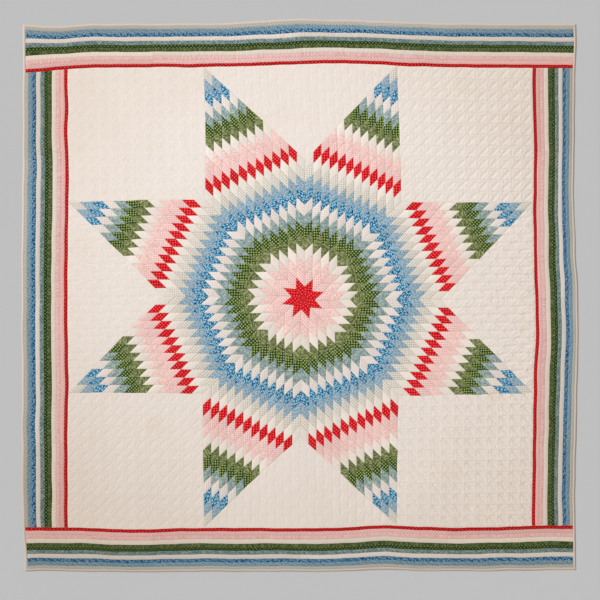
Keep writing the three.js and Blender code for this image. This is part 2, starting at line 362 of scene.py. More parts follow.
def pillow(a, b, width):
    """Cloth puffed in cells of one by one: one minus a furrow at the seams each way, times the other.

    width is how far a cell measures between two seams.
    """
    ways = [1 - furrow(from_line(value, width), SEAM_FURROW) for value in (a, b)]
    return ways[0] * ways[1]


def quilted(a, b, side):
    """Puff of quilted cloth: the product of one minus a furrow along each of the three ways of lines.

    The grid's lines are where a or b is whole, and the diagonals where their difference is.
    """
    diagonal = 1 - furrow(from_line(a - b, side * SLANT), DIAGONAL_FURROW)
    ways = [1 - GRID_DEPTH * furrow(from_line(value, side), GRID_FURROW) for value in (a, b)]
    return diagonal * ways[0] * ways[1]


def crowned(share):
    """Puff across a strip, from seam to seam: the sine of the share of a half turn, to a power."""
    return np.abs(np.sin(math.pi * share)) ** PUFF_FULLNESS


def relief_at(draft):
    """How strongly plain cloth is raised at places of the draft, about 1.

    It is a number that grows with the distance from the upright middle line, times one plus a share of
    x, times one plus a share of y.
    """
    x, y = draft[..., 0], draft[..., 1]
    return (RELIEF.middle + RELIEF.outward * np.abs(x)) * (1 + RELIEF.right * x) * (1 + RELIEF.up * y)


def puffs(name, shape):
    """How full each cell of a panel is, seeded by the panel's name."""
    chance = np.random.default_rng(sum(map(ord, name)))
    return chance.normal(1, PUFF_VARIES, shape).clip(*PUFF_LIMITS)


Grid = namedtuple("Grid", "draft a b cloth")
Panel = namedtuple("Panel", "name points inside cloth patch slots fabrics edge_fabric")


def panel_grid(sizes, start, way_a, way_b):
    """Places of a panel drafted from a start along two ways, a and b counting diamond sides.

    cloth has the same places on square axes along way_a, for weave and prints.
    """
    count = np.arange(sizes.diamonds * sizes.fineness + 1) / sizes.fineness
    a, b = np.meshgrid(count, count, indexing="ij")
    offset = (a[..., None] * way_a + b[..., None] * way_b) * sizes.diamond_side
    square = np.array((way_a, (-way_a[1], way_a[0])))
    return Grid(start + offset, a, b, offset @ square.T)


def edge_grid(sizes, degrees, along, out, count):
    """Places beside one side of the field, so far along it and so far out from its edge.

    a counts a strip's joined lengths along it, and b is the count that goes with out.
    """
    run, reach = np.meshgrid(along, field_half(sizes) + out, indexing="ij")
    draft = reach[..., None] * compass(degrees) + run[..., None] * compass(degrees - QUARTER)
    cloth = np.stack((run, np.broadcast_to(out, run.shape)), -1)
    return Grid(draft, run / JOINED_LENGTH, np.broadcast_to(count, run.shape), cloth)


def cloth_panel(sizes, name, grid, height, fabrics, edge_fabric=None, slots=None, inside=None):
    """A panel from its grid and heights: all inside it and all in the first fabric, unless told."""
    if slots is None:
        slots = np.zeros(np.subtract(grid.a.shape, 1), int)
    if inside is None:
        inside = np.ones(grid.a.shape, bool)
    return Panel(
        name=f"{name}_cloth",
        points=settle(grid.draft, height, sizes),
        inside=inside,
        cloth=grid.cloth,
        patch=np.stack((grid.a, grid.b), -1),
        slots=slots,
        fabrics=fabrics + ["backing"],
        edge_fabric=edge_fabric or fabrics[0],
    )


def grid_faces(panel):
    """The index of each grid place, then the top's quads, its cut corners, and all its cells' slots.

    A quad has four places inside the panel. A cut corner has three, and lies on a slanting edge.
    """
    index = np.cumsum(panel.inside.ravel()).reshape(panel.inside.shape) - 1
    corners = np.stack((index[:-1, :-1], index[1:, :-1], index[1:, 1:], index[:-1, 1:]), -1)
    whole = panel.inside[1:, 1:] & panel.inside[:-1, :-1]
    cut = ~panel.inside[1:, 1:] & panel.inside[1:, :-1] & panel.inside[:-1, 1:]
    slots = np.concatenate((panel.slots[whole], panel.slots[cut]))
    return index, corners[whole], corners[cut][:, (0, 1, 3)], slots


def close_panel(panel):
    """A panel's mesh object: its top, upright sides, and a flat underside.

    The underside has one quad for each row of the top, from the row's first place to its last, and a
    many-sided face at either end that also takes in the places of that end.
    """
    index, quads, cut, slots = grid_faces(panel)
    first = index[:, 0]
    last = index[np.arange(len(index)), panel.inside.sum(1) - 1]
    head = index[0][panel.inside[0]]
    tail = index[-1][panel.inside[-1]]
    rim = np.concatenate((first[:-1], tail[:-1], last[:0:-1], head[:0:-1]))
    top = panel.points[panel.inside]
    low_of = np.zeros(len(top), int)
    low_of[rim] = len(top) + np.arange(len(rim))
    points = np.concatenate((top, top[rim] * (1, 1, 0)))
    after = np.roll(rim, -1)
    walls = np.stack((rim, low_of[rim], low_of[after], after), -1)
    low_first, low_last = low_of[first], low_of[last]
    under = np.stack((low_first[1:-2], low_last[1:-2], low_last[2:-1], low_first[2:-1]), -1)
    head_face = np.concatenate((low_of[head], low_last[1:2], low_first[1:2]))[None]
    tail_face = np.concatenate((low_first[-2:-1], low_last[-2:-1], low_of[tail][::-1]))[None]
    edge_slot = panel.fabrics.index(panel.edge_fabric)
    faces = (quads, cut, walls, under, head_face, tail_face)
    back_slot = panel.fabrics.index("backing")
    kinds = (slots, np.full(len(walls), edge_slot), np.full(len(under) + 2, back_slot))
    return mesh_object(panel, points, faces, np.concatenate(kinds), len(slots), rim)


def mark_rim(mesh, rim):
    """Marks the edges round the top as sharp: those whose two points are next to each other on the rim."""
    place = np.full(len(mesh.vertices), -1)
    place[rim] = np.arange(len(rim))
    ends = np.empty(2 * len(mesh.edges), np.int32)
    mesh.edges.foreach_get("vertices", ends)
    first, second = place[ends].reshape(-1, 2).T
    apart = (first - second) % len(rim)
    is_rim = (first >= 0) & (second >= 0) & ((apart == 1) | (apart == len(rim) - 1))
    layer = mesh.attributes.new("sharp_edge", "BOOLEAN", "EDGE")
    layer.data.foreach_set("value", is_rim)


def mesh_object(panel, points, faces, slots, smooth_count, rim):
    """The object with these points and faces, the first smooth_count faces shaded smooth."""
    mesh = bpy.data.meshes.new(panel.name)
    corners = np.concatenate([face.ravel() for face in faces])
    counts = np.concatenate([np.full(len(face), face.shape[1]) for face in faces if len(face)])
    mesh.vertices.add(len(points))
    mesh.vertices.foreach_set("co", points.ravel())
    mesh.loops.add(len(corners))
    mesh.loops.foreach_set("vertex_index", corners.astype(np.int32))
    mesh.polygons.add(len(counts))
    mesh.polygons.foreach_set("loop_start", (np.cumsum(counts) - counts).astype(np.int32))
    mesh.polygons.foreach_set("material_index", slots.astype(np.int32))
    mesh.polygons.foreach_set("use_smooth", np.arange(len(counts)) < smooth_count)
    for name, places in (("cloth", panel.cloth), ("patch", panel.patch)):
        flat = places[panel.inside]
        every = np.concatenate((flat, flat[rim]))
        layer = mesh.uv_layers.new(name=name)
        layer.data.foreach_set("uv", every[corners].astype(np.float32).ravel())
    mesh.update(calc_edges=True)
    mark_rim(mesh, rim)
    if mesh.validate():
        raise RuntimeError(f"{panel.name} has faces that Blender had to mend")
    return placed(panel.name, mesh)


def placed(name, data):
    """A new object of this data, in the scene."""
    made = bpy.data.objects.new(name, data)
    bpy.context.scene.collection.objects.link(made)
    return made


Declared = namedtuple("Declared", "node slot flat area")


def dress(panel, materials, declared):
    made = close_panel(panel)
    for fabric in panel.fabrics:
        made.data.materials.append(materials[fabric])
    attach(made, "root")
    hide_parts(declared.node)


# The colour inputs and the colour output of a Mix node, by number
MIX_FIRST, MIX_SECOND, MIX_RESULT = 6, 7, 2


class Wiring:
    """Adds and links the nodes of one material or node group."""

    def __init__(self, tree):
        self.tree = tree

    def feed(self, node, feeds):
        """Feeds a node's inputs, by name or number, with sockets or values."""
        for key, value in dict(feeds).items():
            if isinstance(value, bpy.types.NodeSocket):
                self.tree.links.new(value, node.inputs[key])
            else:
                node.inputs[key].default_value = value

    def node(self, kind, feeds=(), **settings):
        """A node of a kind with its settings and what feeds it."""
        node = self.tree.nodes.new(kind)
        for name, value in settings.items():
            setattr(node, name, value)
        self.feed(node, feeds)
        return node

    def surface(self, **feeds):
        """Feeds the material's own shader."""
        named = {name.replace("_", " "): value for name, value in feeds.items()}
        self.feed(self.tree.nodes["Principled BSDF"], named)

    def math(self, operation, *values):
        """One sum on numbers."""
        return self.node("ShaderNodeMath", enumerate(values), operation=operation).outputs[0]

    def plus(self, first, second):
        """Two numbers added."""
        return self.math("ADD", first, second)

    def times(self, first, second):
        """Two numbers multiplied."""
        return self.math("MULTIPLY", first, second)

    def times_plus(self, first, second, third):
        """Two numbers multiplied, and a third added."""
        return self.math("MULTIPLY_ADD", first, second, third)

    def vector(self, operation, *values):
        """One sum on vectors."""
        return self.node("ShaderNodeVectorMath", enumerate(values), operation=operation).outputs[0]

    def scaled(self, place, factor):
        """A vector times a number."""
        feeds = {0: place, "Scale": factor}
        return self.node("ShaderNodeVectorMath", feeds, operation="SCALE").outputs[0]

    def distance(self, place, other):
        """How far one place is from another."""
        feeds = {0: place, 1: other}
        return self.node("ShaderNodeVectorMath", feeds, operation="DISTANCE").outputs["Value"]

    def split(self, place):
        """A vector's three numbers."""
        return self.node("ShaderNodeSeparateXYZ", {0: place}).outputs

    def joined(self, x, y):
        """A place from two numbers."""
        return self.node("ShaderNodeCombineXYZ", {0: x, 1: y}).outputs[0]

    def ramp(self, value, start, end):
        """0 up to start, 1 from end, and smooth between. It falls where start is over end."""
        low, high = sorted((start, end))
        at_low = float(start > end)
        feeds = {"Value": value, "From Min": low, "From Max": high}
        feeds.update({"To Min": at_low, "To Max": 1 - at_low})
        return self.node("ShaderNodeMapRange", feeds, interpolation_type="SMOOTHSTEP").outputs[0]

    def mix(self, factor, first, second, blend="MIX"):
        """Two colours mixed."""
        feeds = {0: factor, MIX_FIRST: first, MIX_SECOND: second}
        node = self.node("ShaderNodeMix", feeds, data_type="RGBA", blend_type=blend)
        return node.outputs[MIX_RESULT]

    def noise(self, place, scale, detail=2.0, rough=0.5):
        """Soft noise over a place, about a half on average."""
        feeds = {"Vector": place, "Scale": scale, "Detail": detail, "Roughness": rough}
        return self.node("ShaderNodeTexNoise", feeds).outputs[0]

    def drawn(self, place, factors, scale=1.0):
        """Plainer noise, drawn out by how much smaller its factor is each way."""
        return self.noise(self.vector("MULTIPLY", place, factors), scale, 1.0)

    def cells(self, place, strays):
        """Cells about one apart: the distance from the nearest cell's middle, and its random colour."""
        feeds = {"Vector": place, "Scale": 1.0, "Randomness": strays}
        return self.node("ShaderNodeTexVoronoi", feeds, voronoi_dimensions="2D").outputs

    def turned(self, place, degrees, sizes):
        """A place on axes turned about Z, measured along each in its own size."""
        feeds = {"Vector": place, "Rotation": (0, 0, math.radians(degrees)), "Scale": sizes}
        return self.node("ShaderNodeMapping", feeds, vector_type="TEXTURE").outputs[0]

    def body(self):
        """The place in the quilt, in metres."""
        return self.node("ShaderNodeTexCoord").outputs["Object"]

    def group(self, group, feeds):
        """A node group in use."""
        return self.node("ShaderNodeGroup", feeds, node_tree=group).outputs


VECTOR = "NodeSocketVector"
NUMBER = "NodeSocketFloat"


def new_group(name, inputs, outputs, wire):
    """A node group with its sockets, wired."""
    tree = bpy.data.node_groups.new(name, "ShaderNodeTree")
    for in_out, kinds in (("INPUT", inputs), ("OUTPUT", outputs)):
        for socket, kind in kinds.items():
            tree.interface.new_socket(socket, in_out=in_out, socket_type=kind)
    wiring = Wiring(tree)
    wiring.node("NodeGroupOutput", wire(wiring, wiring.node("NodeGroupInput").outputs))
    return tree


def shared_group(inputs, outputs):
    """Turns a function that wires a node group into one that builds it once and then hands it back.

    The function is given the wiring and the group's inputs, and returns what feeds each output.
    """

    def decorate(wire):
        def once():
            name = wire.__name__
            return bpy.data.node_groups.get(name) or new_group(name, inputs, outputs, wire)

        return once

    return decorate


# Patches are told apart by their whole counts, moved a little off the seams. They are cut up to so far
# apart in their cloth, and the lightest is lighter than the darkest by a share
PATCH_NUDGE = (0.001, 0.001, 0.5)
CUT_SPREAD = 0.4
PATCH_VARIES = 0.12


@shared_group({"Place": VECTOR, "Patch": VECTOR}, {"Place": VECTOR, "Tone": NUMBER})
def cut_place(wiring, given):
    """Where each patch was cut from its cloth: its place, moved by up to CUT_SPREAD for each patch.

    Tone is how light the patch is beside the others, about 1.
    """
    patch = wiring.vector("FLOOR", wiring.vector("ADD", given["Patch"], PATCH_NUDGE))
    random = wiring.node("ShaderNodeTexWhiteNoise", {"Vector": patch}).outputs["Color"]
    moved = wiring.vector("ADD", given["Place"], wiring.scaled(random, CUT_SPREAD))
    chance = wiring.math("SUBTRACT", wiring.split(random)[2], 0.5)
    return {"Place": moved, "Tone": wiring.times_plus(chance, PATCH_VARIES, 1.0)}


# Threads and slubs for each metre, how high a thread stands, and the noise between which it is shaded
THREADS = 1700
SLUBS = 260
THREAD_HEIGHT = 0.00004
THREAD_SHADED = (0.7, 1.3)


@shared_group({"Place": VECTOR}, {"Height": NUMBER, "Shade": NUMBER})
def weave(wiring, given):
    """Uneven threads both ways: noise drawn out along each way. Height is in metres."""
    warp = wiring.drawn(given["Place"], (THREADS, SLUBS, 1))
    weft = wiring.drawn(given["Place"], (SLUBS, THREADS, 1))
    both = wiring.plus(warp, weft)
    return {"Height": wiring.times(both, THREAD_HEIGHT), "Shade": wiring.ramp(both, *THREAD_SHADED)}


# What goes into each print's group and what comes out
PRINT_SOCKETS = (
    {"Place": VECTOR, "Spacing": NUMBER, "Size": NUMBER},
    {"Figure": NUMBER, "Shade": NUMBER},
)
# How soft a figure's edge is, as a share of its size
FIGURE_SOFT = 0.15


def in_spacings(wiring, given):
    """A print's place, counted in spacings of its figures."""
    return wiring.scaled(given["Place"], wiring.math("DIVIDE", 1.0, given["Spacing"]))


def spot(wiring, distance, size):
    """1 within size of a figure's middle, with a soft edge."""
    return wiring.ramp(wiring.math("DIVIDE", distance, size), 1 + FIGURE_SOFT, 1 - FIGURE_SOFT)


# The angle of the dots' lattice, how far dots and specks stray from it, and the specks' size beside the
# dots' and their place between them
DOT_SLANT = 45
DOT_STRAYS = 0.22
SPECK_STRAYS = 0.35
SPECK_SIZE = 0.85
HALFWAY = (0.5, 0.5, 0)


@shared_group(*PRINT_SOCKETS)
def dots(wiring, given):
    """Round dots on a slanting lattice, with small shaded specks between them."""
    slanted = wiring.turned(in_spacings(wiring, given), DOT_SLANT, (1, 1, 1))
    distance = wiring.cells(slanted, DOT_STRAYS)["Distance"]
    between = wiring.cells(wiring.vector("ADD", slanted, HALFWAY), SPECK_STRAYS)["Distance"]
    speck = wiring.times(given["Size"], SPECK_SIZE)
    return {"Figure": spot(wiring, distance, given["Size"]), "Shade": spot(wiring, between, speck)}


# The strokes' angle, and how far apart they are each way. Falling ones are slighter by a factor
Stroke = namedtuple("Stroke", "degrees sizes")
RISING = Stroke(62, (1.5, 0.66, 1))
FALLING = Stroke(-35, (1.1, 0.6, 1))
FALLING_SLIGHTER = 1.25
STROKE_STRAYS = 0.5
# How closely and how far strokes are bent, and how far from them the cloth is shaded
BEND_SCALE = 1.1
BEND = 0.5
FLECKS_SHADED = (0.45, 0.65)


@shared_group(*PRINT_SOCKETS)
def flecks(wiring, given):
    """Curled strokes that lean both ways, with shaded strokes between them."""
    place = in_spacings(wiring, given)
    bend = wiring.node("ShaderNodeTexNoise", {"Vector": place, "Scale": BEND_SCALE}).outputs["Color"]
    bent = wiring.vector("ADD", place, wiring.scaled(bend, BEND))
    rising = wiring.cells(wiring.turned(bent, *RISING), STROKE_STRAYS)["Distance"]
    falling = wiring.cells(wiring.turned(bent, *FALLING), STROKE_STRAYS)["Distance"]
    nearest = wiring.math("MINIMUM", rising, wiring.times(falling, FALLING_SLIGHTER))
    return {"Figure": spot(wiring, nearest, given["Size"]), "Shade": wiring.ramp(nearest, *FLECKS_SHADED)}


# How far spots stray, and the chances between which one becomes lighter or darker
SPOT_STRAYS = 0.75
SPOT_LIGHTER = (0.66, 0.7)
SPOT_DARKER = (0.36, 0.32)


@shared_group(*PRINT_SOCKETS)
def mottle(wiring, given):
    """Close small spots of two tones: each cell is lighter, darker or bare by chance."""
    found = wiring.cells(in_spacings(wiring, given), SPOT_STRAYS)
    chance = wiring.split(found["Color"])[0]
    near = spot(wiring, found["Distance"], given["Size"])
    lighter, darker = wiring.ramp(chance, *SPOT_LIGHTER), wiring.ramp(chance, *SPOT_DARKER)
    return {"Figure": wiring.times(near, lighter), "Shade": wiring.times(near, darker)}


# How streaks are drawn out, their scale, and the noise between which they become light or dark
STREAK_DRAWN = (1, 0.22, 1)
STREAK_SCALE = 1.6
STREAK_LIGHT = (0.53, 0.62)
STREAK_DARK = (0.47, 0.38)


@shared_group(*PRINT_SOCKETS)
def streaks(wiring, given):
    """Fine broken lines along the cloth: noise drawn out one way, light and dark of its middle."""
    drawn = wiring.drawn(in_spacings(wiring, given), STREAK_DRAWN, STREAK_SCALE)
    return {"Figure": wiring.ramp(drawn, *STREAK_LIGHT), "Shade": wiring.ramp(drawn, *STREAK_DARK)}


PRINT_GROUPS = {"dots": dots, "flecks": flecks, "mottle": mottle, "streaks": streaks}

# A seam's painted shade line, for the shade in its furrow, from its soft edge to where it is full, and its
# depth. The seam allowance that is pressed to one side of it, from its soft edge to where it is full, and
# its height
SEAM_SHADE = (0.0011, 0.0003)
SEAM_DEPTH = 0.00012
ALLOWANCE = (0.0065, 0.0055)
ALLOWANCE_HEIGHT = 0.00012


@shared_group({"Patch": VECTOR, "Across": NUMBER, "Along": NUMBER}, {"Line": NUMBER, "Height": NUMBER})
def seams(wiring, given):
    """Painted shade lines where Patch is whole either way, and the ridge of the seam allowance pressed
    beside them.

    Across and Along are a patch's width and length in metres. Height is in metres.
    """
    part = wiring.split(wiring.vector("FRACTION", given["Patch"]))
    lines, ridges = [], []
    for number, size in ((part[0], given["Across"]), (part[1], given["Along"])):
        back = wiring.math("SUBTRACT", 1.0, number)
        gap = wiring.times(wiring.math("MINIMUM", number, back), size)
        lines.append(wiring.ramp(gap, *SEAM_SHADE))
        ridges.append(wiring.ramp(wiring.times(number, size), *ALLOWANCE))
    line = wiring.math("MAXIMUM", *lines)
    height = wiring.times(wiring.math("MAXIMUM", *ridges), ALLOWANCE_HEIGHT)
    return {"Line": line, "Height": wiring.times_plus(line, -SEAM_DEPTH, height)}


# Running stitches: from one to the next, where a thread's edge and a stitch's end fade, and their depth
STITCH_PITCH = 0.0032
THREAD_WIDE = 0.00032
THREAD_EDGE = (1.6 * THREAD_WIDE, 0.6 * THREAD_WIDE)
STITCH_END = (0.36, 0.28)
STITCH_DEPTH = 0.0003
# Puckers across a quilted line: their width, how far they reach from it, how high they stand, and how
# far the noise is moved from one line to the next
PUCKER_LENGTH = 0.0075
PUCKER_REACH = 0.016
PUCKER_HEIGHT = 0.0009
PUCKER_ROW = 37


@shared_group({"Patch": VECTOR, "Side": NUMBER}, {"Stitch": NUMBER, "Height": NUMBER})
def quilting(wiring, given):
    """Running stitches along whole values of Patch either way and along its diagonals, with puckers.

    Side is a cell's side in metres. Height is in metres, falls at each stitch, and has short puckers
    that lie across each line and fade away from it.
    """
    a, b = wiring.split(given["Patch"])[:2]
    side = given["Side"]
    slant = wiring.times(side, SLANT)
    ways = ((a, b, side), (b, a, side), (wiring.math("SUBTRACT", a, b), wiring.plus(a, b), slant))
    sewn, height = 0.0, 0.0
    for across, along, size in ways:
        part = wiring.math("FRACT", wiring.plus(across, 0.5))
        offset = wiring.times(wiring.math("SUBTRACT", part, 0.5), size)
        gap = wiring.math("ABSOLUTE", offset)
        length = wiring.times(along, size)
        beat = wiring.math("FRACT", wiring.math("DIVIDE", length, STITCH_PITCH))
        middle = wiring.math("ABSOLUTE", wiring.math("SUBTRACT", beat, 0.5))
        stitch = wiring.times(wiring.ramp(gap, *THREAD_EDGE), wiring.ramp(middle, *STITCH_END))
        sewn = wiring.math("MAXIMUM", sewn, stitch)
        row = wiring.times(wiring.math("ROUND", across), PUCKER_ROW)
        sideways = wiring.times_plus(offset, 1 / PUCKER_REACH, row)
        place = wiring.joined(wiring.math("DIVIDE", length, PUCKER_LENGTH), sideways)
        pucker = wiring.times(wiring.noise(place, 1.0, 1.0), PUCKER_HEIGHT)
        height = wiring.times_plus(pucker, wiring.ramp(gap, PUCKER_REACH, 0.0), height)
    return {"Stitch": sewn, "Height": wiring.times_plus(sewn, -STITCH_DEPTH, height)}


@shared_group({"Place": VECTOR}, {"Share": NUMBER})
def relief(wiring, given):
    """How strongly plain cloth is raised at a place of the quilt, worked out as relief_at does."""
    x, y = wiring.split(given["Place"])[:2]
    outward = wiring.times_plus(wiring.math("ABSOLUTE", x), RELIEF.outward, RELIEF.middle)
    right = wiring.times_plus(x, RELIEF.right, 1.0)
    up = wiring.times_plus(y, RELIEF.up, 1.0)
    return {"Share": wiring.times(wiring.times(outward, right), up)}


# Creases: width, length and height. Crumples and broad waves: size and height
CREASE_WIDE = 0.0085
CREASE_LONG = 0.034
CREASE_HEIGHT = 0.0005
CRUMPLE = 0.009
CRUMPLE_HEIGHT = 0.0005
BROAD = 0.05
BROAD_HEIGHT = 0.001
CRINKLED = {"Body": VECTOR, "Cloth": VECTOR, "Creased": NUMBER, "Relief": NUMBER}


@shared_group(CRINKLED, {"Height": NUMBER})
def crinkle(wiring, given):
    """Small washed-in creases: fine ones drawn out along the cloth's second axis, and broad ones.

    Height is in metres. Creased is how many times as high the drawn out ones stand, and Relief how many
    times as high all the fine ones do.
    """
    folds = wiring.drawn(given["Cloth"], (1 / CREASE_WIDE, 1 / CREASE_LONG, 1))
    fine = wiring.times(wiring.times(folds, CREASE_HEIGHT), given["Creased"])
    small = wiring.times(wiring.noise(given["Body"], 1 / CRUMPLE), CRUMPLE_HEIGHT)
    broad = wiring.times(wiring.noise(given["Body"], 1 / BROAD, 1.0), BROAD_HEIGHT)
    return {"Height": wiring.plus(wiring.times(wiring.plus(fine, small), given["Relief"]), broad)}


# Noise by its scale, detail and roughness
Noise = namedtuple("Noise", "scale detail rough")
# How far out yellowing begins and is full, and how far noise moves that
YELLOWED = (0.9, 1.7)
YELLOWED_NOISE = Noise(2.3, 3.0, 0.5)
YELLOWED_MOVED = 0.5
# How the painted falloff of the key light grows with x, with y and with both multiplied, and between which
# sums
FALLOFF_RIGHT, FALLOFF_UP, FALLOFF_BOTH = 0.3, -0.95, 0.6
FALLOFF_SUMS = (-1.6, 1.6)
# Marks by chance, where noise of their own is between these
STAINED = (0.52, 0.82)
STAINED_NOISE = Noise(5.5, 4.0, 0.6)
STAINED_FROM = (3.1, 7.7, 0)


@shared_group({"Place": VECTOR}, {"Yellowed": NUMBER, "Painted Falloff": NUMBER, "Stain": NUMBER})
def age_and_painted_falloff(wiring, given):
    """Age of cloth at a place of the quilt, and painted shade where the key light falls off.

    Yellowed rises towards the quilt's edges, Painted Falloff is painted shade that rises from its upper
    left to its lower right, and Stain is faint marks by chance, with the old marks among them.
    """
    place = given["Place"]
    x, y = wiring.split(place)[:2]
    out = wiring.math("SQRT", wiring.plus(wiring.times(x, x), wiring.times(y, y)))
    moved = wiring.times_plus(wiring.noise(place, *YELLOWED_NOISE), YELLOWED_MOVED, out)
    # Painted shade of the key light's falloff, from the upper left to the lower right
    slanting = wiring.times_plus(x, FALLOFF_RIGHT, wiring.times(y, FALLOFF_UP))
    down = wiring.times_plus(wiring.times(x, y), FALLOFF_BOTH, slanting)
    elsewhere = wiring.vector("ADD", place, STAINED_FROM)
    stain = wiring.ramp(wiring.noise(elsewhere, *STAINED_NOISE), *STAINED)
    for mark in MARKS:
        near = wiring.ramp(wiring.distance(place, (mark.x, mark.y, 0)), mark.reach, 0.0)
        stain = wiring.times_plus(near, mark.strength, stain)
    yellowed, painted_falloff = wiring.ramp(moved, *YELLOWED), wiring.ramp(down, *FALLOFF_SUMS)
    return {"Yellowed": yellowed, "Painted Falloff": painted_falloff, "Stain": stain}


# How creased each cloth is beside the crease's own height
FIELD_CREASED = 0.8
STAR_CREASED = 0.8
BORDER_CREASED = 3.2
# How strongly each tint covers the cloth, the painted shade along seams among them, and the painted shade
# between threads
SEAM_SHADE_COVER = 0.3
STITCH_COVER = 0.55
YELLOWED_COVER = 0.35
STAIN_COVER = 0.14
SHADE_COVER = 0.06
BETWEEN_THREADS = (0.5, 0.5, 0.5)

CLOTH_ROUGHNESS = 0.93
CLOTH_SPECULAR = 0.12
CLOTH_SHEEN = 0.02
# How much red, green and blue each add to how light a colour looks
LIGHTNESS = (0.2126, 0.7152, 0.0722)


def rgba(values):
    """A colour with full opacity."""
    return (*values, 1.0)


def deepened(code, share):
    """A colour's linear values times a share, with full opacity."""
    return rgba(min(value * share, 1.0) for value in linear(code))


def new_material(name):
    """A material with nodes, and its wiring."""
    material = bpy.data.materials.new(name)
    material.use_nodes = True
    return material, Wiring(material.node_tree)


def printed(wiring, place, ground, print_, depth):
    """A ground with its print's shaded and light figures. depth is as in cloth_material."""
    feeds = {"Place": place, "Spacing": print_.spacing, "Size": print_.size}
    figures = wiring.group(PRINT_GROUPS[print_.kind](), feeds)
    shaded = wiring.times(figures["Shade"], print_.shade_cover)
    colour = wiring.mix(shaded, ground, deepened(print_.shade, depth))
    covered = wiring.times(figures["Figure"], print_.figure_cover)
    return wiring.mix(covered, colour, deepened(print_.figure, depth))


def aged(wiring, body, colour, shade):
    """A colour with each tint of age and the painted falloff multiplied into it, and shade between its
    threads.
    """
    tints = bpy.context.scene.quilt_plain
    age = wiring.group(age_and_painted_falloff(), {"Place": body})
    for strength, tint in (
        (wiring.times(age["Yellowed"], YELLOWED_COVER), tints.aged),
        # Painted shade where the key light falls off towards the lower right
        (age["Painted Falloff"], tints.painted_falloff),
        (wiring.times(age["Stain"], STAIN_COVER), tints.stain),
        (wiring.times(shade, SHADE_COVER), BETWEEN_THREADS),
    ):
        colour = wiring.mix(strength, colour, rgba(tint), blend="MULTIPLY")
    return colour


Sewing = namedtuple("Sewing", "group sizes creased")
UNSEWN = Sewing(group=None, sizes={}, creased=1.0)


def cloth_material(name, ground, sewing=UNSEWN, print_=None, depth=1.0):
    """A cotton: its ground, an optional print, sewn lines of one kind, weave, creases, age and painted
    shade of the light's falloff.

    sewing has the group that draws the lines, its sizes, and how creased the cloth is. depth is how
    light the print's figures are beside their stated colours.
    """
    tints = bpy.context.scene.quilt_plain
    material, wiring = new_material(name)
    material.diffuse_color = colour = rgba(ground)
    wiring.surface(Base_Color=colour)
    cloth = place = wiring.node("ShaderNodeUVMap", uv_map="cloth").outputs[0]
    patch = wiring.node("ShaderNodeUVMap", uv_map="patch").outputs[0]
    body = wiring.body()
    is_pieced = sewing.group is seams
    if is_pieced:
        cut = wiring.group(cut_place(), {"Place": cloth, "Patch": patch})
        place = cut["Place"]
    threads = wiring.group(weave(), {"Place": place})
    height = threads["Height"]
    if print_:
        colour = printed(wiring, place, colour, print_, depth)
    if is_pieced:
        colour = wiring.scaled(colour, cut["Tone"])
    share = wiring.group(relief(), {"Place": body})["Share"] if sewing.group is quilting else 1.0
    if sewing.group:
        lines = wiring.group(sewing.group(), {"Patch": patch, **sewing.sizes})
        height = wiring.times_plus(lines["Height"], share, height)
        if is_pieced:
            # Pieced cloth gets painted shade along its seams, quilted cloth its thread's stitches
            drawn, tint = wiring.times(lines["Line"], SEAM_SHADE_COVER), tints.shadow
        else:
            drawn, tint = wiring.times(lines["Stitch"], STITCH_COVER), tints.thread
        colour = wiring.mix(drawn, colour, rgba(tint))
    feeds = {"Body": body, "Cloth": cloth, "Creased": sewing.creased, "Relief": share}
    height = wiring.plus(height, wiring.group(crinkle(), feeds)["Height"])
    bump = wiring.node("ShaderNodeBump", {"Strength": 1.0, "Distance": 1.0, "Height": height})
    wiring.surface(
        Base_Color=aged(wiring, body, colour, threads["Shade"]),
        Normal=bump.outputs[0],
        Roughness=CLOTH_ROUGHNESS,
        Specular_IOR_Level=CLOTH_SPECULAR,
        Sheen_Weight=CLOTH_SHEEN,
    )
    return material


def kept_material(name, *finish):
    """A cotton by name, made with its finish the first time that it is asked for."""
    return bpy.data.materials.get(name) or cloth_material(name, *finish)


def plain_material(part):
    """The material of a plain cotton: backing or binding."""
    return kept_material(f"plain_{part}", getattr(bpy.context.scene.quilt_plain, part))


def field_materials(sizes):
    """The plain cream cotton with its quilting, and the back's."""
    ground = bpy.context.scene.quilt_plain.field
    sewing = Sewing(quilting, {"Side": sizes.diamond_side}, FIELD_CREASED)
    field = kept_material("quilted_cream", ground, sewing, PRINTS["cream"])
    return {"field": field, "backing": plain_material("backing")}


def printed_materials(kind, sewing):
    """The materials of the star's or the border's fabrics: one for each ground, and the back's.

    A print's figures are as much deeper than stated as its ground is than the star's.
    """
    star, grounds = (getattr(bpy.context.scene, f"quilt_{place}") for place in ("star", kind))
    made = {"backing": plain_material("backing")}
    for fabric, print_ in PRINTS.items():
        ground = getattr(grounds, fabric)
        depth = float(np.dot(ground, LIGHTNESS)) / float(np.dot(getattr(star, fabric), LIGHTNESS))
        made[fabric] = cloth_material(f"{kind}_{fabric}", ground, sewing, print_, depth)
    return made


def unique(names):
    """Names in order, each once."""
    return list(dict.fromkeys(names))


def arm_panel(sizes, name, degrees):
    """One star arm: its diamonds are pillows, and a diamond's fabric goes by how many steps it is out."""
    grid = panel_grid(sizes, np.zeros(2), compass(degrees), compass(degrees + ARM_ANGLE))
    cells = puffs(name, (sizes.diamonds, sizes.diamonds))
    full = np.kron(cells, np.ones((sizes.fineness, sizes.fineness)))
    full = np.pad(full, ((0, 1), (0, 1)), mode="edge")
    puff = sizes.diamond_puff * full * pillow(grid.a, grid.b, sizes.diamond_side * SLANT)
    fabrics = unique(STAR_ROWS)
    steps = np.floor(grid.a[:-1, :-1]).astype(int) + np.floor(grid.b[:-1, :-1]).astype(int)
    slot_of_row = np.array([fabrics.index(fabric) for fabric in STAR_ROWS])
    slots = slot_of_row[steps % len(STAR_ROWS)]
    return cloth_panel(sizes, name, grid, raised(sizes, grid.draft, puff), fabrics, "cream", slots)


